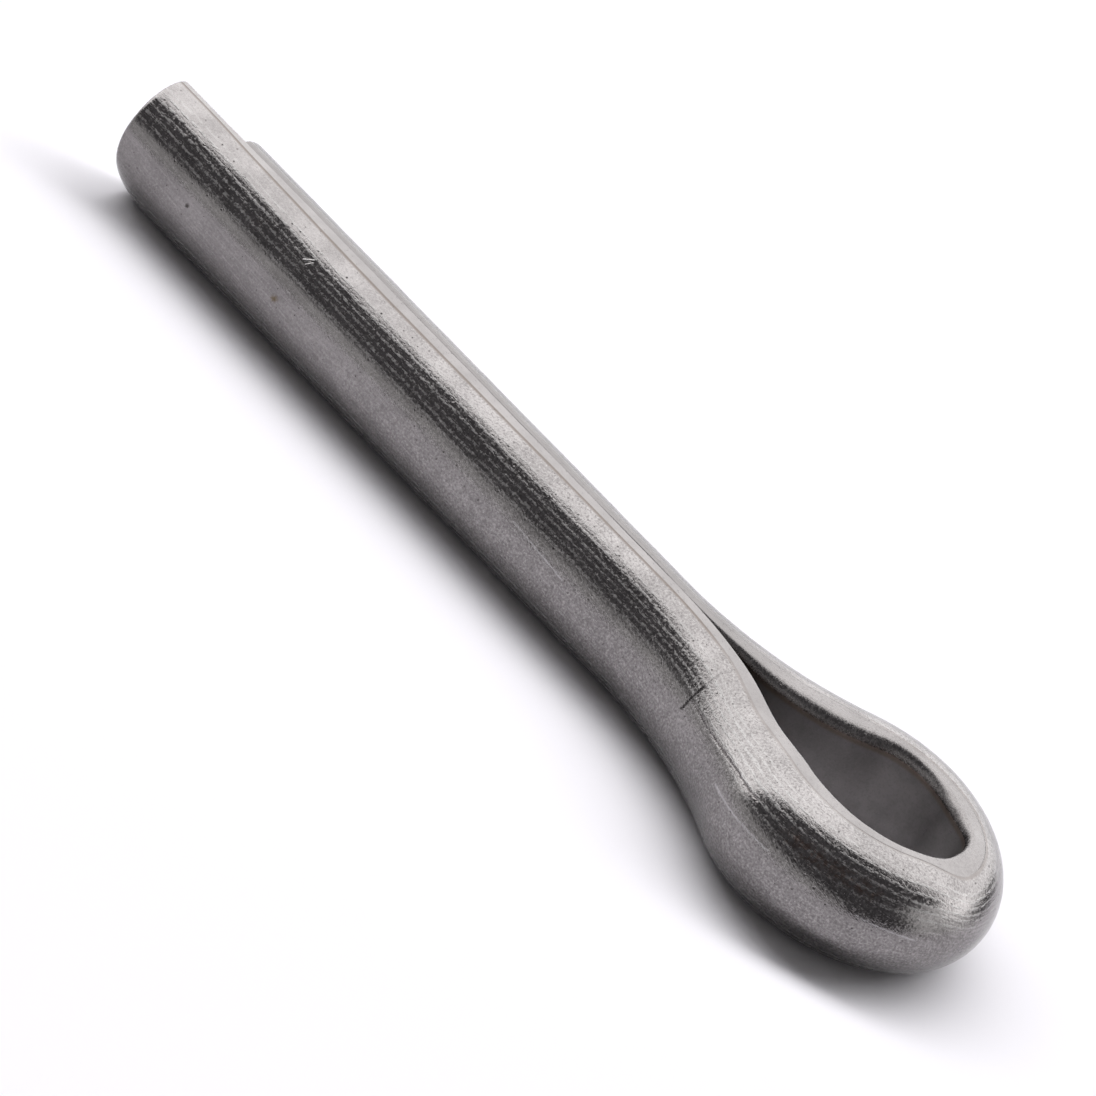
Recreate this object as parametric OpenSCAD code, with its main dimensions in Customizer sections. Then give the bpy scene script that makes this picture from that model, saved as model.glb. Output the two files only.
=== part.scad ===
// Cotter pin: one length of half-round steel wire, folded flat side to flat side.
// The two legs lie together as one round shank, and the fold opens into a teardrop eye.
// Lengths are in millimetres and angles in degrees.
// The shank's axis is X. The eye is at +X, the tips are at -X, and the long leg is on the -Y side.
// The pin lies on its side, so the eye's plane is level and Z is up.
// X = 0 is the neck, where the legs begin to part.

/* [Wire] */
// Diameter of the round shank that the two legs make together
shank_d = 5.8; // [4.6:0.1:7]
// Slit left between the flat sides of the two legs
slit = 0.05; // [0.02:0.01:0.3]
// Width of the narrow land that runs along each edge of a leg's flat side
land_w = 0.43; // [0.2:0.01:0.8]

/* [Legs] */
// Length of the short leg, from the neck to its tip
short_leg = 29; // [20:0.5:60]
// How much further the long leg reaches
long_extra = 3.73; // [2:0.01:8]
// Lean of the long leg's end face, with its upper edge further out
end_lean = 7.5; // [0:0.5:20]
// Radius of the worn rounding on the round side of each tip
tip_round = 0.2; // [0.1:0.05:1]

/* [Eye] */
// Inside radius of the bend that closes the eye
eye_r = 4.31; // [3.5:0.01:5.5]
// Distance from the neck to the centre of that bend
eye_reach = 13.06; // [11:0.02:18]
// How far the eye's centre sits off the shank's axis, towards the short leg
eye_shift = 0.46; // [-1:0.02:1]
// How far the squeezed wire swells into the eye along its two sides
swell = 0.53; // [0.1:0.01:0.8]
// How far it swells in at the eye's far end
end_swell = 0.33; // [0.1:0.01:0.8]
// How much further the short leg's flat side runs straight before the hole opens
late_start = 2.4; // [0.5:0.1:4]

/* [Hidden] */

$fn = 96;
steel = [0.44, 0.43, 0.41];

shank_r = shank_d / 2;
half_slit = slit / 2;
// the lands are flats cut across the round at this height, one above and one below
land_n = half_slit + land_w;
land_z = sqrt(shank_r * shank_r - land_n * land_n);
// metal left inside the flat side round the eye, more than the swelling needs
pad = swell + end_swell + slit;

// Each side's wire leaves the shank along X and bends outwards round the neck's centre,
// which lies straight out from the neck. It runs on smoothly into the bend that closes
// the eye, so the two centres are as far apart as the two radii together.
// reach and off say how far the eye's centre lies along X and away from this side.
function flank_r(reach, off, round_r) =
    (reach * reach + off * off - round_r * round_r) / (2 * (round_r - off));
function neck_r(off) = flank_r(eye_reach, off, eye_r);
function flank_angle(off) = asin(eye_reach / (neck_r(off) + eye_r));

// The squeezed wire swells inwards where it bends, so the hole is a smaller teardrop than
// the one that the wire's flat side would leave. It is made in the same way, from two arcs.
hole_r = eye_r - swell;
hole_reach = eye_reach + swell - end_swell;
// The hole's round end is this much larger, so that its sides run into it and not just up to it
overlap = 0.002;

// Moves to v in two steps, which keeps long decimals exact where pieces meet
module place(v) {
    near = [for (x = v) round(x * 100) / 100];
    translate(near)
        translate(v - near)
            children();
}

// Section of the wire: x is the distance out from the flat side, y is the height.
// pad is metal left inside the flat side, for the hole to be cut from.
module wire_section(pad) {
    intersection() {
        circle(r = shank_r);
        translate([half_slit, -land_z])
            square([shank_r, 2 * land_z]);
    }
    if (pad > 0)
        translate([half_slit - pad, -land_z])
            square([pad + land_w / 2, 2 * land_z]);
}

// Everything within reach that lies behind the YZ plane
module behind(reach) {
    translate([-reach, -reach, -reach])
        cube([reach, 2 * reach, 2 * reach]);
}

// What is trimmed off at a tip. Its face is the YZ plane, with the wire towards +X.
module tip_waste() {
    spare = 0.15;
    corner = tip_round + spare;
    wide = 2 * shank_r;
    rotate([0, 90, 0])
        rotate_extrude() {
            translate([0, -wide])
                square([wide, wide]);
            difference() {
                translate([shank_r - tip_round, -corner])
                    square([wide, 2 * corner]);
                translate([shank_r - tip_round, corner])
                    circle(r = corner);
            }
        }
}

// One leg, from its tip to the neck at the YZ plane, with its round side towards +Y
module leg(reach, lean) {
    run = reach + shank_r;
    difference() {
        translate([-run, 0, 0])
            rotate([90, 0, 90])
                linear_extrude(height = run)
                    wire_section(0);
        translate([-reach, 0, 0])
            rotate([0, lean, 0])
                tip_waste();
    }
}

// Everything within reach that lies ahead of the YZ plane, on the +Y side of the shank's axis
module own_side(reach) {
    translate([0, 0, -reach])
        cube([reach, reach, 2 * reach]);
}

// Everything on the neck's side of the joint between the neck and the eye's bend
module neck_half(off, reach) {
    place([eye_reach, -off, 0])
        rotate([0, 0, flank_angle(off)])
            behind(reach);
}

// The neck's arc, which bends from the leg out to the eye, with its round side inwards
module neck(off) {
    bend_r = neck_r(off);
    reach = 2 * (bend_r + eye_reach);
    intersection() {
        place([0, bend_r, 0])
            rotate([0, 0, 180])
                rotate_extrude()
                    place([bend_r, 0, 0])
                        mirror([1, 0])
                            wire_section(pad);
        own_side(reach);
        neck_half(off, reach);
    }
}

// The bend that closes the eye, open between the joints where the two necks meet it
module eye_bend() {
    reach = 2 * (eye_reach + eye_r);
    difference() {
        place([eye_reach, eye_shift, 0])
            rotate([0, 0, 180])
                rotate_extrude()
                    place([eye_r, 0, 0])
                        wire_section(pad);
        intersection() {
            neck_half(-eye_shift, reach);
            mirror([0, 1, 0])
                neck_half(eye_shift, reach);
        }
    }
}

// One side of the hole, from where it leaves the slit at start to the joint with its round end.
// The wall is an arc round a centre that lies straight out from the start.
module hole_side(off, start) {
    bend_r = flank_r(hole_reach - start, off, hole_r);
    angle = asin((hole_reach - start) / (bend_r + hole_r));
    reach = 2 * (bend_r + hole_reach);
    intersection() {
        place([start, bend_r, 0])
            rotate_extrude()
                place([bend_r, 0, 0])
                    translate([-half_slit, -shank_d])
                        square([hole_reach, 2 * shank_d]);
        translate([start, 0, 0])
            own_side(reach);
        place([hole_reach, -off, 0])
            rotate([0, 0, angle])
                behind(reach);
    }
}

// Everything that is cut out inside the eye, and the slit that leads into it
module eye_hole() {
    place([hole_reach, eye_shift, 0])
        cylinder(h = 2 * shank_d, r = hole_r + half_slit + overlap, center = true);
    translate([0, -half_slit, -shank_d])
        cube([late_start, slit, 2 * shank_d]);
    hole_side(-eye_shift, late_start);
    mirror([0, 1, 0])
        hole_side(eye_shift, 0);
}

module cotter_pin() {
    color(steel) {
        difference() {
            union() {
                eye_bend();
                neck(-eye_shift);
                mirror([0, 1, 0])
                    neck(eye_shift);
            }
            eye_hole();
        }
        leg(short_leg, 0);
        mirror([0, 1, 0])
            leg(short_leg + long_extra, end_lean);
    }
}

cotter_pin();
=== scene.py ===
# %% [markdown]
# # A worn steel cotter pin
# A cotter pin, or split pin, is one length of half-round wire, folded so that its two flat sides
# meet. The legs make a round shank, and the fold opens into a teardrop eye.
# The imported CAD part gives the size, the place and the main forms, and could be shown as it is
# with a steel material. This lesson sweeps a truer wire in its place, because the edges of the
# real wire soften, and its lands widen little by little, where it is squeezed in the bend.

import math

import bmesh
import bpy
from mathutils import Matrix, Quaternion, Vector


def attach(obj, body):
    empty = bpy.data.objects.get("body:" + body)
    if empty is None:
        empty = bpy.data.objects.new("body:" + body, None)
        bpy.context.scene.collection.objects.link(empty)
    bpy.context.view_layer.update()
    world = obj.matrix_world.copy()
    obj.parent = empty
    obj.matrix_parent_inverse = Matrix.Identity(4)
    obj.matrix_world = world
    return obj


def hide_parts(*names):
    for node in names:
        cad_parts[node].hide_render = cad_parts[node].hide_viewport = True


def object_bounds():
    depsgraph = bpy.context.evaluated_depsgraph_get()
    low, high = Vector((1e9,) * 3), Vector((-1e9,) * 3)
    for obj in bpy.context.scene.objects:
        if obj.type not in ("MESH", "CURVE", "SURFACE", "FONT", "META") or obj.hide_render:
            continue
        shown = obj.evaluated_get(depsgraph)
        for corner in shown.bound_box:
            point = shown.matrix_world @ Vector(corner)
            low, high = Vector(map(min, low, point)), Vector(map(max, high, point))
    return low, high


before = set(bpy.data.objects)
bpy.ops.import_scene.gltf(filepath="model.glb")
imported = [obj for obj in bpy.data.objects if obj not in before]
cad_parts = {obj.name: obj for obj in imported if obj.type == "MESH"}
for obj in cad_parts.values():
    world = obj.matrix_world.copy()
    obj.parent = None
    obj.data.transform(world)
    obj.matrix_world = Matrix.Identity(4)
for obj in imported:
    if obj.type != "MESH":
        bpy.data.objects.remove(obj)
CAD_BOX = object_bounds()
MM = 0.001
print("CAD box in mm:", [[round(c / MM, 2) for c in corner] for corner in CAD_BOX])

# %% [markdown]
# ## The wire's path
# Each side of the pin leaves the shank along X, bends outwards round the neck's centre and
# runs smoothly into the bend that closes the eye. A curve could be drawn by hand, but two arcs
# keep the solid's exact form. Arcs that touch have their centres as far apart as their radii
# together, so the neck's radius follows from the eye's radius, reach and shift. The long leg is
# on the -Y side.

# %% Sizes of the pin, in millimetres
SHANK_R = 2.9
SHORT_LEG = 29.0
LONG_LEG = SHORT_LEG + 3.73
EYE_R = 4.31
EYE_REACH = 13.06
EYE_SHIFT = 0.46
STEP = 0.3          # distance between two stations along the wire


# %% The path of one side
def neck_radius(off):
    """Radius of the neck's arc on the side that the eye's centre lies off away from."""
    return (EYE_REACH ** 2 + off ** 2 - EYE_R ** 2) / (2 * (EYE_R - off))


def neck_angle(off):
    """Angle that the neck's arc turns through before it meets the eye's bend."""
    return math.asin(EYE_REACH / (neck_radius(off) + EYE_R))


def station(reach, off):
    """Place and outward direction of the wire, reach mm past the neck on the +Y side."""
    bend, angle = neck_radius(off), neck_angle(off)
    if reach < 0:
        return (reach, 0.0), (0.0, 1.0)
    if reach < bend * angle:
        turn = reach / bend
        return (bend * math.sin(turn), bend * (1 - math.cos(turn))), (-math.sin(turn), math.cos(turn))
    turn = angle - (reach - bend * angle) / EYE_R
    out = (-math.sin(turn), math.cos(turn))
    return (EYE_REACH + EYE_R * out[0], -off + EYE_R * out[1]), out


def side_length(off):
    """Length of wire from the neck to the far end of the eye, level with its centre."""
    return neck_radius(off) * neck_angle(off) + EYE_R * (neck_angle(off) + math.pi / 2)


print("wire round the eye:", round(side_length(EYE_SHIFT) + side_length(-EYE_SHIFT), 2), "mm")

# %% [markdown]
# ## The wire's section
# The shank's section is half a circle, with a narrow land along each edge of its flat side.
# Where the wire bends tightly it is squeezed: the land widens, and the inside edge turns soft and
# swells into the eye. One fixed profile can't show that, so a few values along each side say where
# the crease outside the land lies, where the land's inner rim lies and how far in the flat face
# lies. Distances are out from the middle plane, and a smooth curve joins the values.


# %% A smooth curve through a few values
def smooth_curve(keys, reach):
    """Value at reach on a smooth curve through (reach, value) pairs, level at both ends."""
    if not keys[0][0] < reach < keys[-1][0]:
        return keys[0][1] if reach <= keys[0][0] else keys[-1][1]
    i = next(k for k in range(1, len(keys)) if reach <= keys[k][0])
    (a, low), (b, high) = keys[i - 1], keys[i]
    leave = (high - keys[i - 2][1]) / (b - keys[i - 2][0]) if i > 1 else 0.0
    arrive = (keys[i + 1][1] - low) / (keys[i + 1][0] - a) if i + 1 < len(keys) else 0.0
    span, t = b - a, (reach - a) / (b - a)
    return (low + (high - low) * t * t * (3 - 2 * t)
            + span * (leave * t * (1 - t) ** 2 - arrive * t * t * (1 - t)))


# %% How the section changes along each side, in millimetres past the neck
END = 20.8          # about where the two sides meet at the eye's far end
LONG_KEYS = {
    "crease": [(-31, 0.15), (-28, 0.3), (-19, 0.53), (-6, 0.5), (4.5, 0.55), (7.8, 0.85), (9.5, 0.68),
               (12, 0.12), (13.5, -0.1), (15.5, -0.12), (18, 0.12), (19, 0.38), (END, 1.25)],
    "rim": [(-30, -0.25), (-19, -0.24), (-6, -0.16), (0, -0.12), (5.5, -0.12), (8, 0.08), (9.3, 0.0),
            (11.4, -0.62), (13.5, -0.86), (16, -0.7), (18.2, -0.3), (END, 0.28)],
    "face": [(-30, -0.25), (-19, -0.24), (-6, -0.16), (0, -0.13), (5.5, -0.2), (8, -0.05), (9.3, -0.15),
             (11.4, -0.8), (13.5, -1.03), (16, -0.88), (18.2, -0.5), (END, 0.05)],
    "corner": [(0, 0.06), (6, 0.5), (17, 0.5), (END, 0.35)],
    "height": [(0, 2.84), (9, 2.84), (13, 2.9), (18, 2.9), (END, 2.87)],
    "bulge": [(15, 1.0), (END, 1.06)],
}
SHORT_KEYS = {
    "crease": [(0, 0.45), (5, 0.36), (7.4, 0.26), (9.35, 0.42), (12, 0.02), (14, 0.08), (15, 0.2),
               (16.5, 0.55), (18.5, 1.0), (END, 1.25)],
    "rim": [(-19, 0.255), (-6, 0.175), (0, 0.14), (3, -0.05), (6, -0.24), (10, -0.28), (12.5, -0.2),
            (16.3, -0.15), (17.4, 0.08), (18.5, 0.35), (END, 0.28)],
    "face": [(-19, 0.255), (-6, 0.175), (0, 0.14), (4, -0.35), (6, -0.72), (8.5, -0.88), (10, -0.84),
             (12.5, -0.62), (16.3, -0.54), (17.4, -0.28), (18.5, 0.1), (END, 0.05)],
    "corner": [(0, 0.06), (6, 0.5), (17, 0.5), (END, 0.35)],
    "height": [(0, 2.84), (10, 2.84), (14, 2.87), (END, 2.87)],
    "bulge": [(15, 1.0), (END, 1.06)],
}


def section_at(reach, keys):
    """The key distances of the section, across and up, reach mm past the neck."""
    names = ("crease", "rim", "face", "corner", "height")
    crease, rim, face, corner, height = (smooth_curve(keys[name], reach) for name in names)
    return (crease, rim, face), (math.sqrt(SHANK_R ** 2 - crease ** 2), height, height - corner)


(neck_crease, neck_rim, _), _ = section_at(0, LONG_KEYS)
print("long side's land at the neck:", round(neck_crease - neck_rim, 2), "mm wide")

# %% [markdown]
# ## Worn tips
# The wire was cut at both ends, and the cuts have worn round, most of all on the lower edge of
# each leg. The long leg's end also leans. A bevel would round a whole edge by one amount, so the
# wear is written as a depth that fades along the leg.

# %% The worn tips, in millimetres
LONG_LEAN = math.tan(math.radians(7.5))     # of the long leg's end face
LEAN_FROM, LEAN_TO = 5.0, 1.0               # distances from the tip between which the lean comes in
TOP_WEAR, LOW_WEAR = (0.06, 0.06), (0.45, 0.75)     # depth of the wear, and how fast it fades
FADED = 5           # fading lengths after which nothing is worn


def tip_wear(to_tip):
    """How far a leg has worn in at its upper and at its lower edge, to_tip mm from its end."""
    return tuple(depth * (math.exp(-to_tip / length) - math.exp(-FADED)) if to_tip < FADED * length else 0.0
                 for depth, length in (TOP_WEAR, LOW_WEAR))


print("worn in at a tip:", [round(w, 2) for w in tip_wear(0)], "mm")

# %% [markdown]
# ## Stations along the wire
# A plain polyline carries the path: one vertex for each station, from the long leg's tip round
# the eye to the short leg's tip. Named attributes on its vertices say where the outside is and
# what the section is like there. Geometry Nodes read them by name later.

# %% Stations, closer together at the worn tips
TIP_PLACES = [0, 0.02, 0.05, 0.09, 0.14, 0.2, 0.3, 0.42, 0.55, 0.75, 1.0]
TIP_END = 1.3       # distance from the tip at which even steps begin


def leg_places(leg):
    """Distances past the neck for a straight leg."""
    count = math.ceil((leg - TIP_END) / STEP)
    even = [TIP_END + i * (leg - TIP_END) / count for i in range(count)]
    return [place - leg for place in TIP_PLACES + even]


def side_places(length, leg):
    """Distances past the neck from a leg's tip to the eye's far end."""
    count = math.ceil(length / STEP)
    return leg_places(leg) + [i * length / count for i in range(count + 1)]


def side_rows(off, leg, keys, mirrored, lean):
    """One row of attributes for each station of a side, from its tip to the eye's far end."""
    flip = -1 if mirrored else 1
    rows = []
    for reach in side_places(side_length(off), leg):
        (x, y), (out_x, out_y) = station(reach, off)
        across, up = section_at(reach, keys)
        rows.append({
            "centre": (x, y * flip, 0.0),
            "outward": (out_x, out_y * flip, 0.0),
            "n_keys": across,
            "z_keys": up,
            "wear": (*tip_wear(reach + leg), 0.0),
            "bulge": smooth_curve(keys["bulge"], reach),
            "lean": lean * smooth_curve([(LEAN_TO - leg, 1.0), (LEAN_FROM - leg, 0.0)], reach),
        })
    return rows


long_rows = side_rows(EYE_SHIFT, LONG_LEG, LONG_KEYS, True, LONG_LEAN)
short_rows = side_rows(-EYE_SHIFT, SHORT_LEG, SHORT_KEYS, False, 0.0)
rows = long_rows + short_rows[-2::-1]
along = 0.0
for i, row in enumerate(rows):
    if i:
        along += math.dist(rows[i - 1]["centre"], row["centre"])
    row["along"] = along
print(len(rows), "stations on", round(along, 1), "mm of wire")


# %% The path as a polyline with attributes
def polyline(name, places, closed):
    """A mesh object of vertices joined in a row."""
    mesh = bpy.data.meshes.new(name)
    links = [(i, i + 1) for i in range(len(places) - 1)]
    mesh.from_pydata(places, links + ([(len(places) - 1, 0)] if closed else []), [])
    made = bpy.data.objects.new(name, mesh)
    bpy.context.scene.collection.objects.link(made)
    return made


def add_values(mesh, name, values):
    """Stores one float or one vector for each vertex of the mesh."""
    vector = isinstance(values[0], tuple)
    layer = mesh.attributes.new(name, "FLOAT_VECTOR" if vector else "FLOAT", "POINT")
    if vector:
        layer.data.foreach_set("vector", [float(c) for v in values for c in v])
    else:
        layer.data.foreach_set("value", values)


path = polyline("wire_path", [row["centre"] for row in rows], False)
for key in rows[0]:
    add_values(path.data, key, [row[key] for row in rows])
print("on the path:", list(rows[0]))

# %% [markdown]
# ## The half-round profile
# The profile is a closed loop of points that hold no sizes of their own. Each point says how it
# is mixed from the section's keys: a share of the turn round the outside, or shares of the crease,
# the rim and the flat face. The same loop can then take every form that the section needs.

# %% The profile as a loop of mixing shares
ROUND_STEPS, LAND_STEPS, CORNER_STEPS, FACE_STEPS = 26, 6, 6, 6
SOFT = 0.05         # share of the land next to an edge that takes the edge's soft rounding
ROUND_END = 0.99    # share of the turn at which the round stops short of the crease

# each point: is it on the round, share of the turn, shares across, shares up, belt
upper_half = []
for i in range(ROUND_STEPS + 1):
    share = i / ROUND_STEPS if i < ROUND_STEPS else ROUND_END
    upper_half.append((1.0, share, (0, 0, 0), (0, 0, 0), share))
for share in [SOFT] + [i / LAND_STEPS for i in range(1, LAND_STEPS)] + [1 - SOFT]:
    upper_half.append((0.0, 0.0, (1 - share, share, 0), (1 - share, share, 0), 1 + share))
for i in range(1, CORNER_STEPS + 1):
    turn = math.pi / 2 * i / CORNER_STEPS
    s, c = math.sin(turn), math.cos(turn)
    upper_half.append((0.0, 0.0, (0, 1 - s, s), (0, c, 1 - c), 2 + i / CORNER_STEPS))
for i in range(1, FACE_STEPS + 1):
    upper_half.append((0.0, 0.0, (0, 0, 1), (0, 0, 1 - i / FACE_STEPS), 3 + i / FACE_STEPS))
loop = [point + (1.0,) for point in upper_half] + [point + (-1.0,) for point in upper_half[-2:0:-1]]

turns = [2 * math.pi * i / len(loop) for i in range(len(loop))]
profile = polyline("wire_profile", [(math.cos(turn), math.sin(turn), 0) for turn in turns], True)
for i, key in enumerate(("is_round", "turn", "n_mix", "z_mix", "belt", "up")):
    add_values(profile.data, key, [point[i] for point in loop])
print(len(loop), "points round the wire")

# %% [markdown]
# ## The sweep in Geometry Nodes
# A curve's bevel gives one profile of one size along the whole wire. Geometry Nodes can do more:
# Curve to Mesh lays the loop along the path and carries both sets of attributes to the new mesh,
# and Set Position then works out each vertex from them. So the wire's form depends only on the
# rules above.


# %% Helpers for node trees
def add_node(tree, kind, settings=None, **inputs):
    """Adds a node, sets its properties, and fills its inputs with links or plain values."""
    made = tree.nodes.new(kind)
    for key, value in (settings or {}).items():
        setattr(made, key, value)
    for key, value in inputs.items():
        numbered = key[0] == "i" and key[1:].isdigit()
        place = made.inputs[int(key[1:])] if numbered else made.inputs[key.replace("_", " ")]
        if isinstance(value, bpy.types.NodeSocket):
            tree.links.new(value, place)
        else:
            place.default_value = value
    return made


def math_node(tree, operation, *values):
    inputs = {f"i{i}": value for i, value in enumerate(values)}
    return add_node(tree, "ShaderNodeMath", {"operation": operation}, **inputs).outputs[0]


def vector_node(tree, operation, *values):
    inputs = {f"i{i}": value for i, value in enumerate(values)}
    if operation == "SCALE":
        inputs["Scale"] = inputs.pop("i1")
    made = add_node(tree, "ShaderNodeVectorMath", {"operation": operation}, **inputs)
    return made.outputs["Value" if operation in ("DOT_PRODUCT", "LENGTH") else "Vector"]


def smooth_step(tree, value, low, high):
    """Rises smoothly from 0 at low to 1 at high."""
    return add_node(tree, "ShaderNodeMapRange", {"interpolation_type": "SMOOTHSTEP"}, Value=value,
                    From_Min=low, From_Max=high).outputs[0]


def named(tree, key, kind="FLOAT"):
    """Reads a named attribute."""
    reader = add_node(tree, "GeometryNodeInputNamedAttribute", {"data_type": kind}, Name=key)
    return reader.outputs["Attribute"]


print("helpers ready for", bpy.app.version_string)

# %% Lay the loop along the path
sweep = bpy.data.node_groups.new("sweep_wire", "GeometryNodeTree")
sweep.is_modifier = True
for label, kind in (("Geometry", "Geometry"), ("Profile", "Object"), ("Scale", "Float"),
                    ("Unevenness", "Float"), ("Seed", "Float"), ("Material", "Material")):
    sweep.interface.new_socket(label, in_out="INPUT", socket_type="NodeSocket" + kind)
sweep.interface.new_socket("Geometry", in_out="OUTPUT", socket_type="NodeSocketGeometry")
source = sweep.nodes.new("NodeGroupInput").outputs
result = sweep.nodes.new("NodeGroupOutput").inputs

path_curve = add_node(sweep, "GeometryNodeMeshToCurve", Mesh=source["Geometry"])
loop_mesh = add_node(sweep, "GeometryNodeObjectInfo", Object=source["Profile"])
loop_curve = add_node(sweep, "GeometryNodeMeshToCurve", Mesh=loop_mesh.outputs["Geometry"])
skin = add_node(sweep, "GeometryNodeCurveToMesh", Curve=path_curve.outputs[0],
                Profile_Curve=loop_curve.outputs[0], Fill_Caps=True)
print("inputs of the sweep:", [item.name for item in sweep.interface.items_tree if item.in_out == "INPUT"])

# %% Work out each vertex from its attributes
n_keys, z_keys = named(sweep, "n_keys", "FLOAT_VECTOR"), named(sweep, "z_keys", "FLOAT_VECTOR")
n_mix, z_mix = named(sweep, "n_mix", "FLOAT_VECTOR"), named(sweep, "z_mix", "FLOAT_VECTOR")
up_side = named(sweep, "up")
crease = add_node(sweep, "ShaderNodeSeparateXYZ", Vector=n_keys).outputs["X"]
full_turn = math_node(sweep, "ARCCOSINE", math_node(sweep, "DIVIDE", crease, SHANK_R))
turned = math_node(sweep, "MULTIPLY", full_turn, named(sweep, "turn"))
on_circle = math_node(sweep, "MULTIPLY", named(sweep, "is_round"), SHANK_R)
across = math_node(sweep, "ADD", vector_node(sweep, "DOT_PRODUCT", n_keys, n_mix),
                   math_node(sweep, "MULTIPLY", on_circle, math_node(sweep, "COSINE", turned)))
height = math_node(sweep, "ADD", vector_node(sweep, "DOT_PRODUCT", z_keys, z_mix),
                   math_node(sweep, "MULTIPLY", on_circle, math_node(sweep, "SINE", turned)))
height = math_node(sweep, "MULTIPLY", height, up_side)

# worn tips: the low edge's wear comes in between these two heights
HIGH, LOW = 0.3 * SHANK_R, -0.9 * SHANK_R
wear = add_node(sweep, "ShaderNodeSeparateXYZ", Vector=named(sweep, "wear", "FLOAT_VECTOR"))
lowness = smooth_step(sweep, height, HIGH, LOW)
gone_above = math_node(sweep, "MULTIPLY", wear.outputs["X"], math_node(sweep, "SUBTRACT", 1.0, lowness))
gone_below = math_node(sweep, "MULTIPLY", wear.outputs["Y"], lowness)
gone = math_node(sweep, "ADD", gone_above, gone_below)
kept = math_node(sweep, "SUBTRACT", 1.0, math_node(sweep, "DIVIDE", gone, SHANK_R))
across = math_node(sweep, "MULTIPLY", across, math_node(sweep, "MULTIPLY", kept, named(sweep, "bulge")))
height = math_node(sweep, "MULTIPLY", height, kept)

leaning = math_node(sweep, "MULTIPLY", math_node(sweep, "MULTIPLY", named(sweep, "lean"), height), -1.0)
offset = add_node(sweep, "ShaderNodeCombineXYZ", X=leaning, Z=height).outputs[0]
outward = vector_node(sweep, "SCALE", named(sweep, "outward", "FLOAT_VECTOR"), across)
spot = vector_node(sweep, "ADD", named(sweep, "centre", "FLOAT_VECTOR"), outward)
spot = vector_node(sweep, "ADD", spot, offset)
shaped = add_node(sweep, "GeometryNodeSetPosition", Geometry=skin.outputs[0], Position=spot)
print("sweep tree so far:", len(sweep.nodes), "nodes")

# %% [markdown]
# ## Unevenness and a map that follows the wire
# Squeezed wire is never quite true, so a slow noise moves its surface by a few hundredths of a
# millimetre. The tree also stores a UV map here, where the distance along the wire and round it
# is still known at every corner. Unwrapping the finished mesh would have to guess at both.

# %% Unevenness
SLOW = 0.35         # scale of the noise, on coordinates in millimetres
here = add_node(sweep, "GeometryNodeInputPosition").outputs[0]
wave = add_node(sweep, "ShaderNodeTexNoise", {"noise_dimensions": "4D"}, Vector=here, W=source["Seed"],
                Scale=SLOW, Detail=2.0, Roughness=0.5).outputs[0]
lift = math_node(sweep, "MULTIPLY", math_node(sweep, "SUBTRACT", wave, 0.5), source["Unevenness"])
normal = add_node(sweep, "GeometryNodeInputNormal").outputs[0]
uneven = add_node(sweep, "GeometryNodeSetPosition", Geometry=shaped.outputs[0],
                  Offset=vector_node(sweep, "SCALE", normal, lift))
print("with unevenness:", len(sweep.nodes), "nodes")

# %% The wire's own map, and the size
# U runs along the wire and V round it. The sign of V is one for a whole face, so no face twists
# the map where the two halves meet.
UNIT = 120.0        # millimetres to one unit of the map
BELT = 3.9          # millimetres that one belt of the section stands for in V
MAP_MIDDLE = 0.2    # V in the middle of the round side
belt = named(sweep, "belt")
face_belt = add_node(sweep, "GeometryNodeFieldOnDomain", {"data_type": "FLOAT", "domain": "FACE"},
                     Value=math_node(sweep, "MULTIPLY", belt, up_side)).outputs[0]
is_upper = math_node(sweep, "GREATER_THAN", face_belt, 0.0)
half = math_node(sweep, "SUBTRACT", math_node(sweep, "MULTIPLY", is_upper, 2.0), 1.0)
round_way = math_node(sweep, "MULTIPLY", math_node(sweep, "MULTIPLY", belt, half), BELT / UNIT)
along_u = math_node(sweep, "MULTIPLY", named(sweep, "along"), 1 / UNIT)
round_v = math_node(sweep, "ADD", round_way, MAP_MIDDLE)
pattern = add_node(sweep, "ShaderNodeCombineXYZ", X=along_u, Y=round_v).outputs[0]
mapped = add_node(sweep, "GeometryNodeStoreNamedAttribute", {"data_type": "FLOAT2", "domain": "CORNER"},
                  Geometry=uneven.outputs[0], Name="UVMap", Value=pattern)

scale = source["Scale"]
size = add_node(sweep, "ShaderNodeCombineXYZ", X=scale, Y=scale, Z=scale).outputs[0]
scaled = add_node(sweep, "GeometryNodeTransform", Geometry=mapped.outputs[0], Scale=size)
smooth = add_node(sweep, "GeometryNodeSetShadeSmooth", Geometry=scaled.outputs[0])
real = add_node(sweep, "GeometryNodeRealizeInstances", Geometry=smooth.outputs[0])
finished = add_node(sweep, "GeometryNodeSetMaterial", Geometry=real.outputs[0], Material=source["Material"])
sweep.links.new(finished.outputs[0], result[0])
print("sweep tree:", len(sweep.nodes), "nodes")

# %% [markdown]
# ## Patterns on the wire's own map
# Drawn wire carries fine lines along its length from the die. Years of handling leave a dull
# grain, small pits and thin scratches over them. A texture fixed in space would run straight
# through the bend, so the patterns use the map that the sweep stored, which follows the wire
# along its length and round it. All of them are procedural.

# %% The wire's own map as a shader group
ROUND_WAY = 4.0     # millimetres of the round side from its middle to the crease


def new_group(name, inputs, outputs):
    """An empty shader group. Returns it with its inner input and output sockets."""
    group = bpy.data.node_groups.new(name, "ShaderNodeTree")
    for direction, items in (("INPUT", inputs), ("OUTPUT", outputs)):
        for label, kind in items:
            group.interface.new_socket(label, in_out=direction, socket_type="NodeSocket" + kind)
    return group, group.nodes.new("NodeGroupInput").outputs, group.nodes.new("NodeGroupOutput").inputs


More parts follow.
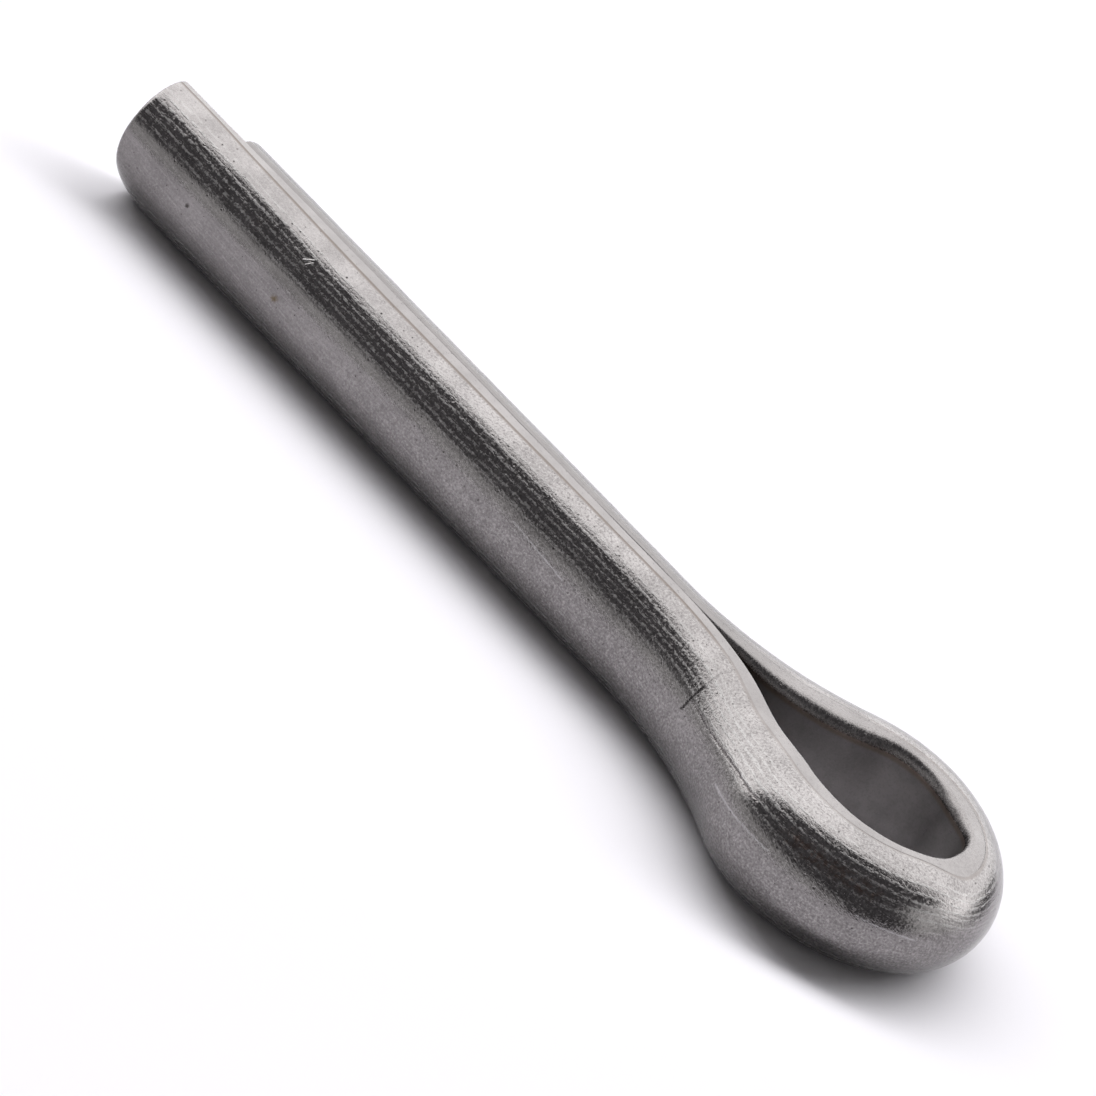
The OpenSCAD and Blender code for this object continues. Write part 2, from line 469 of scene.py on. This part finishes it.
# Place is in millimetres, along the wire from the long leg's tip and round it from the middle of
# the round side. Belt is 0-1 on the round, 1-2 on the land, 2-3 on the corner, 3-4 on the flat face.
wire_map, _, map_out = new_group("wire_map", [], [("Place", "Vector"), ("Belt", "Float")])
uv = add_node(wire_map, "ShaderNodeUVMap", {"uv_map": "UVMap"}).outputs[0]
from_middle = vector_node(wire_map, "SUBTRACT", uv, (0.0, MAP_MIDDLE, 0.0))
from_middle = vector_node(wire_map, "MULTIPLY", from_middle, (UNIT, UNIT / BELT, 0.0))
wire_map.links.new(vector_node(wire_map, "MULTIPLY", from_middle, (1.0, ROUND_WAY, 0.0)), map_out["Place"])
signed_belt = add_node(wire_map, "ShaderNodeSeparateXYZ", Vector=from_middle).outputs["Y"]
wire_map.links.new(math_node(wire_map, "ABSOLUTE", signed_belt), map_out["Belt"])
print("one unit of the map is", UNIT, "mm along the wire")

# %% Groups for lines, strokes and pits
# noise stretched along the wire, or along a direction turned from it, with cells of Long by Wide mm
lines, line_in, line_out = new_group("drawing_lines", [
    ("Place", "Vector"), ("Turn", "Float"), ("Long", "Float"), ("Wide", "Float"), ("Detail", "Float"),
], [("Lines", "Float")])
turned_place = add_node(lines, "ShaderNodeVectorRotate", {"rotation_type": "Z_AXIS"},
                        Vector=line_in["Place"], Angle=line_in["Turn"]).outputs[0]
cell = add_node(lines, "ShaderNodeCombineXYZ", X=line_in["Long"], Y=line_in["Wide"], Z=1.0).outputs[0]
stretched = add_node(lines, "ShaderNodeTexNoise", {"noise_dimensions": "2D"}, Scale=1.0, Roughness=0.6,
                     Vector=vector_node(lines, "DIVIDE", turned_place, cell), Detail=line_in["Detail"])
lines.links.new(stretched.outputs[0], line_out[0])

# a mark from Start to End, with a soft and ragged edge
NOT_ZERO = 0.0001   # lets a mark of no length be divided by its length
stroke, stroke_in, stroke_out = new_group("stroke", [
    ("Place", "Vector"), ("Start", "Vector"), ("End", "Vector"), ("Width", "Float"), ("Ragged", "Float"),
], [("Mask", "Float")])
rag = add_node(stroke, "ShaderNodeTexNoise", {"noise_dimensions": "2D"}, Vector=stroke_in["Place"], Scale=6.0,
               Detail=2.0, Roughness=0.6).outputs["Color"]
rag = vector_node(stroke, "MULTIPLY", vector_node(stroke, "SUBTRACT", rag, (0.5, 0.5, 0.5)), (1.0, 1.0, 0.0))
rag = vector_node(stroke, "ADD", stroke_in["Place"], vector_node(stroke, "SCALE", rag, stroke_in["Ragged"]))
from_start = vector_node(stroke, "SUBTRACT", rag, stroke_in["Start"])
whole = vector_node(stroke, "SUBTRACT", stroke_in["End"], stroke_in["Start"])
done = math_node(stroke, "DIVIDE", vector_node(stroke, "DOT_PRODUCT", from_start, whole),
                 math_node(stroke, "ADD", vector_node(stroke, "DOT_PRODUCT", whole, whole), NOT_ZERO))
nearest = vector_node(stroke, "SCALE", whole, add_node(stroke, "ShaderNodeClamp", Value=done).outputs[0])
away = vector_node(stroke, "LENGTH", vector_node(stroke, "SUBTRACT", from_start, nearest))
stroke.links.new(smooth_step(stroke, away, stroke_in["Width"], 0.0), stroke_out[0])

# small round pits, in the given share of the cells
CELLS = 2.2         # cells to a millimetre
pits, pit_in, pit_out = new_group("pits", [
    ("Place", "Vector"), ("Size", "Float"), ("Share", "Float"),
], [("Mask", "Float")])
cells = add_node(pits, "ShaderNodeTexVoronoi", {"voronoi_dimensions": "2D"}, Vector=pit_in["Place"],
                 Scale=CELLS)
chance = add_node(pits, "ShaderNodeSeparateColor", Color=cells.outputs["Color"])
width = math_node(pits, "MULTIPLY", pit_in["Size"], math_node(pits, "ADD", chance.outputs["Green"], 0.5))
dot = smooth_step(pits, cells.outputs["Distance"], width, 0.0)
chosen = math_node(pits, "LESS_THAN", chance.outputs["Red"], pit_in["Share"])
pits.links.new(math_node(pits, "MULTIPLY", dot, chosen), pit_out[0])
print("shader groups:", [group.name for group in (wire_map, lines, stroke, pits)])

# %% [markdown]
# ## The steel
# The material is built in layers. Masks come first: they say where the round side, the land, the
# soft corner and the flat face are. Colour, polish and relief then use the same masks, so a pit is
# dark, dull and deep in one place. A painted picture could hold finer marks, but this steel keeps
# its detail at any distance and needs no file.

# %% The material and its helpers
steel = bpy.data.materials.new("worn_steel")
steel.use_nodes = True
look = steel.node_tree
shader = look.nodes["Principled BSDF"]
shader.inputs["Metallic"].default_value = 1.0
shader.inputs["IOR"].default_value = 2.5
wire_place = add_node(look, "ShaderNodeGroup", {"node_tree": wire_map})
place, belt = wire_place.outputs["Place"], wire_place.outputs["Belt"]


def between(value, low, high):
    """Smooth step from 0 at low to 1 at high."""
    return smooth_step(look, value, low, high)


def joined(operation, values):
    """Joins any number of values by a math operation, from left to right."""
    total = values[0]
    for value in values[1:]:
        total = math_node(look, operation, total, value)
    return total


def times(*values):
    return joined("MULTIPLY", values)


def plus(*values):
    return joined("ADD", values)


def most(*values):
    return joined("MAXIMUM", values)


def lines_of(turn, long, wide, detail=2.0):
    """Noise in lines that are turned this far from the wire's direction."""
    return add_node(look, "ShaderNodeGroup", {"node_tree": lines}, Place=place, Turn=turn, Long=long,
                    Wide=wide, Detail=detail).outputs[0]


def mark(start, end, width, ragged=0.1):
    """Mask of a mark between two points, each mm along the wire and mm round it."""
    return add_node(look, "ShaderNodeGroup", {"node_tree": stroke}, Place=place, Start=(*start, 0.0),
                    End=(*end, 0.0), Width=width, Ragged=ragged).outputs[0]


def noise_of(scale, detail):
    """Noise in space, with this many cells to a metre."""
    return add_node(look, "ShaderNodeTexNoise", Vector=solid_place, Scale=scale, Detail=detail,
                    Roughness=0.6).outputs[0]


def coated(tone, *coats):
    """Lays coats over a tone, one after another. Each coat is a mask and a colour."""
    for mask, colour in coats:
        below = tone if isinstance(tone, bpy.types.NodeSocket) else (*tone, 1)
        coat = add_node(look, "ShaderNodeMix", {"data_type": "RGBA"}, i0=mask, i6=below, i7=(*colour, 1))
        tone = coat.outputs[2]
    return tone


solid_place = add_node(look, "ShaderNodeTexCoord").outputs["Object"]
print("the steel starts from", shader.name)

# %% Masks: where on the wire
# places along and round the wire are in millimetres, and belts are numbered as in the map's group
way = add_node(look, "ShaderNodeSeparateXYZ", Vector=place).outputs
along_way, round_way = way["X"], way["Y"]
upper = between(round_way, -0.5, 0.5)
lower = plus(1.0, times(upper, -1.0))
aged = plus(times(between(along_way, 8.0, 28.0), 0.75), 0.6)
# the short leg from its neck on, which is painted darker as shade below
far_leg_shade = between(along_way, 66.0, 72.0)
in_bend = times(between(along_way, 35.0, 38.0), between(along_way, 73.0, 70.0))
past_neck = between(along_way, 50.0, 56.0)

on_round = between(belt, 1.02, 0.97)
on_flat = most(between(belt, 2.9, 3.05), times(between(belt, 2.0, 2.1), lower))
on_corner = times(between(belt, 1.9, 2.1), between(belt, 3.05, 2.9), upper)
land_shine = plus(times(past_neck, 0.6), times(in_bend, 0.4))
on_land = times(between(belt, 1.0, 1.1), between(belt, 2.1, 1.9), land_shine)
on_crease = times(between(belt, 0.955, 0.995), between(belt, 1.14, 1.04))
on_crown = between(belt, 0.62, 0.45)
rubbed = plus(times(between(belt, 0.35, 0.65), -0.1), 1.1)
rough_skin = plus(on_round, times(on_corner, 0.9), times(on_flat, 0.25), times(on_land, 0.7), 0.1)
print("masks so far:", len(look.nodes), "nodes")

# %% [markdown]
# ## Grain and ridges
# The die leaves fine ridges along the round side, and wear breaks them into beads. A wave texture
# could draw them, but a sine of the distance round the wire gives ridges of a known width, and
# two noises let them wander. The grain is noise in space, so it has no direction and no seam.

# %% Grain, lines and the ridges from the die
grain, lumps, clouds = noise_of(9500.0, 2.0), noise_of(3800.0, 2.0), noise_of(500.0, 4.0)
hairs = lines_of(0.6, 0.22, 0.055)
streaks = lines_of(0.06, 1.6, 0.09, 3.0)
dashes = times(between(lines_of(0.0, 0.22, 0.07), 0.54, 0.7), on_round)
specks = add_node(look, "ShaderNodeGroup", {"node_tree": pits}, Place=place, Size=0.12, Share=0.26).outputs[0]

RIDGE = 0.34        # millimetres from one ridge to the next
slow, quick = lines_of(0.0, 9.0, 1.5), lines_of(0.0, 0.8, 0.4)
wander = plus(times(plus(slow, -0.5), 0.35), times(plus(quick, -0.5), 0.1))
ripple = math_node(look, "SINE", times(plus(round_way, wander), 2 * math.pi / RIDGE))
beads = between(lines_of(0.0, 0.26, 0.11), 0.34, 0.58)
ridges = times(between(ripple, 0.0, 0.9), beads, on_round, between(belt, 0.28, 0.42),
               between(belt, 0.86, 0.72))
print("with grain and ridges:", len(look.nodes), "nodes")

# %% Colour
tone = coated(
    (0.24, 0.227, 0.225),
    (between(clouds, 0.35, 0.65), (0.312, 0.296, 0.293)),
    (times(between(streaks, 0.5, 0.7), 0.7, on_crown), (0.37, 0.353, 0.35)),
    (times(between(streaks, 0.48, 0.3), 0.35, on_crown), (0.17, 0.16, 0.158)),
    # painted shade: the round side darkens from a little above its middle downwards, for the shadowed floor
    # that its lower half reflects
    (times(between(round_way, 1.7, 0.4), 0.5, on_round), (0.16, 0.15, 0.152)),
    (times(between(grain, 0.52, 0.3), 0.45, rough_skin, rubbed, aged), (0.12, 0.112, 0.11)),
    (times(between(grain, 0.5, 0.72), 0.35, rough_skin, rubbed, aged), (0.42, 0.402, 0.395)),
    # painted shade: the short leg, from its neck to its tip, is darker for the shade on the far leg behind
    # the near one
    (times(far_leg_shade, 0.7), (0.17, 0.162, 0.16)),
    (times(between(belt, 1.0, 1.15), between(belt, 2.6, 2.0), 0.5), (0.2, 0.188, 0.186)),
    (times(ridges, 0.6), (0.46, 0.45, 0.445)),
    (times(specks, on_round, 0.75), (0.06, 0.052, 0.05)),
    (times(on_crease, plus(0.9, times(in_bend, -0.5)), between(along_way, 66.0, 60.0)), (0.12, 0.098, 0.085)),
    (times(on_flat, 0.2), (0.12, 0.114, 0.116)),
)
brown_line = times(between(belt, 2.86, 2.97), between(belt, 3.12, 3.03), between(round_way, 0.0, 1.0))
tone = coated(tone, (times(brown_line, 0.45), (0.19, 0.12, 0.075)))
print("with colour:", len(look.nodes), "nodes")

# %% [markdown]
# ## Marks of use
# A used pin has its own marks: here a nick and a pit on the long leg, a rust spot beside the
# nick, a dark mark across the wire from the tool that bent it, and scratches that run along it.
# Each is a stroke between two points of the wire's map. A noise could scatter marks too, but
# strokes put each one where it belongs.

# %% Marks of use
nick = most(mark((10.35, 2.3), (10.7, 2.62), 0.05, 0.03), mark((10.6, 2.22), (10.78, 2.5), 0.04, 0.03))
rust = mark((10.58, 0.14), (10.64, 0.15), 0.24, 0.25)
deep_pit = mark((4.55, 0.27), (4.6, 0.28), 0.13, 0.05)
tool_mark = mark((38.68, 0.92), (38.5, 2.27), 0.1, 0.1)
tool_trace = mark((38.5, 2.27), (38.12, 3.3), 0.08, 0.2)
long_line = most(mark((38.9, 1.5), (41.0, 1.53), 0.07, 0.25), mark((41.0, 1.53), (45.3, 1.72), 0.08, 0.15))
scratches = most(mark((43.9, 0.58), (46.6, 0.78), 0.07, 0.08), mark((49.5, 0.74), (51.3, 0.6), 0.06, 0.06),
                 mark((26.0, 0.9), (29.5, 0.62), 0.07, 0.1))
brown_patch = times(mark((46.9, 1.75), (49.6, 1.8), 0.5, 0.6), between(lumps, 0.4, 0.6))
tone = coated(
    tone,
    (times(brown_patch, 0.6), (0.16, 0.085, 0.055)),
    (times(scratches, 0.55), (0.46, 0.45, 0.455)),
    (times(long_line, 0.75), (0.07, 0.06, 0.06)),
    (plus(times(tool_mark, 0.85), times(tool_trace, 0.35)), (0.05, 0.045, 0.045)),
    (times(rust, 0.8), (0.1, 0.07, 0.03)),
    (times(deep_pit, 0.9), (0.04, 0.035, 0.033)),
    (times(nick, 0.6), (0.5, 0.49, 0.49)),
)
look.links.new(tone, shader.inputs["Base Color"])
print("with marks:", len(look.nodes), "nodes")

# %% [markdown]
# ## Polish and relief
# Where the steel is rubbed it is smooth, and its grain, ridges and flat face are duller. Marks
# this fine would need millions of faces as geometry, so a Bump node turns their heights, in
# millimetres, into small changes in how the surface meets the light.

# %% Polish and relief
GRAIN_UP, LUMP_UP, HAIR_UP, RIDGE_UP, NICK_UP = 0.0045, 0.003, 0.004, 0.004, 0.02    # heights in mm
SPECK_IN, CREASE_IN, TOOL_IN, LINE_IN, PIT_IN = -0.012, -0.02, -0.05, -0.03, -0.03   # depths in mm
dullness = plus(times(between(grain, 0.43, 0.65), 0.15, rough_skin), times(dashes, 0.2),
                times(on_flat, 0.32), times(between(belt, 1.0, 1.1), 0.1), times(ridges, 0.2), 0.075)
look.links.new(dullness, shader.inputs["Roughness"])
relief = times(rough_skin, plus(times(grain, GRAIN_UP), times(lumps, LUMP_UP), times(hairs, HAIR_UP)), aged)
relief = plus(relief, times(ridges, RIDGE_UP), times(specks, SPECK_IN), times(on_crease, CREASE_IN),
              times(tool_mark, TOOL_IN), times(long_line, LINE_IN), times(deep_pit, PIT_IN),
              times(nick, NICK_UP))
bump = add_node(look, "ShaderNodeBump", Strength=1.0, Distance=MM, Height=relief)
look.links.new(bump.outputs[0], shader.inputs["Normal"])
print("steel:", len(look.nodes), "nodes")

# %% [markdown]
# ## The wire in the solid's place
# The modifier's result is copied to a mesh of its own, which leaves one plain piece to show.
# Its faces are turned outwards, and edges sharper than 60 degrees, such as those at the tips, stay
# sharp. The wire is attached to the root body, and the imported solid is hidden.

# %% Make the wire and put it in place of the plain solid
UNEVENNESS, SEED = 0.05, 4.0        # depth of the wire's unevenness in mm, and its pattern
SHARP = math.radians(60)
wire = bpy.data.objects.new("wire_sweep", path.data)
bpy.context.scene.collection.objects.link(wire)
modifier = wire.modifiers.new("sweep", "NODES")
modifier.node_group = sweep
socket = {item.name: item.identifier for item in sweep.interface.items_tree if item.in_out == "INPUT"}
for label, value in (("Profile", profile), ("Scale", MM), ("Unevenness", UNEVENNESS), ("Seed", SEED),
                     ("Material", steel)):
    modifier[socket[label]] = value
wire_mesh = bpy.data.meshes.new_from_object(wire.evaluated_get(bpy.context.evaluated_depsgraph_get()))
for helper in (wire, path, profile):
    bpy.data.objects.remove(helper)

shell = bmesh.new()
shell.from_mesh(wire_mesh)
bmesh.ops.recalc_face_normals(shell, faces=shell.faces)
shell.to_mesh(wire_mesh)
shell.free()
wire_mesh.set_sharp_from_angle(angle=SHARP)
pin = bpy.data.objects.new("pin_wire", wire_mesh)
bpy.context.scene.collection.objects.link(pin)
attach(pin, "root")
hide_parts("cotter_pin")
print("pin mesh:", len(wire_mesh.polygons), "faces")

# %% [markdown]
# ## Camera
# A long lens from well back keeps the wire's sides nearly parallel. The camera is turned about
# its own axis, so the pin lies across the picture from corner to corner.

# %% Camera
AIM = Vector((-0.005496, -0.000803, 0.0))
AZIMUTH, ELEVATION, ROLL = math.radians(-23.389), math.radians(29.588), math.radians(33.671)
DISTANCE = 0.43546
LENS, SENSOR = 328.5, 36.0          # millimetres
forward = Vector((math.sin(AZIMUTH) * math.cos(ELEVATION), math.cos(AZIMUTH) * math.cos(ELEVATION),
                  -math.sin(ELEVATION)))
camera = bpy.data.objects.new("camera", bpy.data.cameras.new("camera"))
camera.data.lens = LENS
camera.data.sensor_width = SENSOR
camera.location = AIM - forward * DISTANCE
camera.rotation_mode = "QUATERNION"
camera.rotation_quaternion = Quaternion(forward, -ROLL) @ forward.to_track_quat("-Z", "Y")
bpy.context.scene.collection.objects.link(camera)
bpy.context.scene.camera = camera
print("camera at", [round(c, 4) for c in camera.location])

# %% [markdown]
# ## Floor and light
# The floor is plain white. Bare metal shows what stands round it, so most of the lights here
# are things for it to reflect, and they light nothing else: a broad one overhead and behind, turned
# to lie across the shank, one upright behind it, a low pale sheet in front and a smaller one at
# the side. The dark stretch between the light overhead and the sheet shows as a dark band along
# the shank. One more lamp, which the metal doesn't reflect, lights the floor, and the world is dim.

# %% Floor
FLOOR_REACH = 2.0                       # metres from the middle
level = CAD_BOX[0].z
corners = [(x * FLOOR_REACH, y * FLOOR_REACH, level) for x, y in ((-1, -1), (1, -1), (1, 1), (-1, 1))]
floor_mesh = bpy.data.meshes.new("floor")
floor_mesh.from_pydata(corners, [], [(0, 1, 2, 3)])
floor = bpy.data.objects.new("floor", floor_mesh)
bpy.context.scene.collection.objects.link(floor)
paper = bpy.data.materials.new("white_paper")
paper.use_nodes = True
matt = paper.node_tree.nodes["Principled BSDF"].inputs
matt["Base Color"].default_value = (0.97, 0.97, 0.97, 1)
matt["Roughness"].default_value = 1.0
matt["Specular IOR Level"].default_value = 0.0
floor_mesh.materials.append(paper)
print("floor at", round(level / MM, 2), "mm")


# %% Lights and world, in metres
def panel(name, place, towards, width, depth, radiance, tint=(1, 1, 1)):
    """A rectangular light of even brightness that faces towards a point."""
    lamp = bpy.data.lights.new(name, "AREA")
    lamp.shape = "RECTANGLE"
    lamp.size = width
    lamp.size_y = depth
    lamp.energy = radiance * math.pi * width * depth
    lamp.color = tint
    made = bpy.data.objects.new(name, lamp)
    made.location = place
    made.rotation_mode = "QUATERNION"
    made.rotation_quaternion = (Vector(towards) - Vector(place)).to_track_quat("-Z", "Y")
    bpy.context.scene.collection.objects.link(made)
    return made


def at_height(z):
    return Vector((0, 0, z))


HEIGHT, DEPTH = 0.6, 2.4                # of the light overhead
WIDE = 4.0                              # width of the lights overhead and behind
NEAR_EDGE = 0.1                         # distance at which the light overhead begins
SHEET_AWAY, SHEET_TOP = 1.2, 0.41       # of the pale sheet in front
SIDE_AWAY, SIDE_TOP = 1.2, 0.9          # of the one at the side
BACK_TURN, FRONT_TURN, SIDE_TURN = math.radians(33), math.radians(21), math.radians(28)
back = Vector((-math.sin(BACK_TURN), math.cos(BACK_TURN), 0.0))
front = Vector((-math.sin(FRONT_TURN), -math.cos(FRONT_TURN), 0.0))
right = Vector((math.cos(SIDE_TURN), math.sin(SIDE_TURN), 0.0))
face_down = Quaternion((0, 0, 1), BACK_TURN) @ Vector((0, 0, -1)).to_track_quat("-Z", "Y")

sky = panel("overhead", back * (DEPTH / 2 + NEAR_EDGE) + at_height(HEIGHT), back, WIDE, DEPTH, 2.1)
sky.rotation_quaternion = face_down
behind = panel("behind", back * DEPTH + at_height(HEIGHT / 2), at_height(HEIGHT / 2), WIDE, HEIGHT, 1.5)
sheet = panel("sheet", front * SHEET_AWAY + at_height(SHEET_TOP / 2), at_height(SHEET_TOP / 2),
              5.0, SHEET_TOP, 0.6)
side = panel("side_sheet", right * SIDE_AWAY + at_height(SIDE_TOP / 2), at_height(SIDE_TOP / 2),
             1.2, SIDE_TOP, 0.8)
for reflected in (sky, behind, sheet, side):
    reflected.visible_diffuse = False

floor_light = panel("floor_light", back * 0.3 + at_height(1), back, 3.0, 0.4, 6.1, (0.99, 0.97, 1.02))
floor_light.rotation_quaternion = face_down
floor_light.visible_glossy = False

world = bpy.data.worlds.new("room")
bpy.context.scene.world = world
world.use_nodes = True
world.node_tree.nodes["Background"].inputs[0].default_value = (0.12, 0.117, 0.122, 1)
bpy.context.scene.view_settings.view_transform = "Standard"
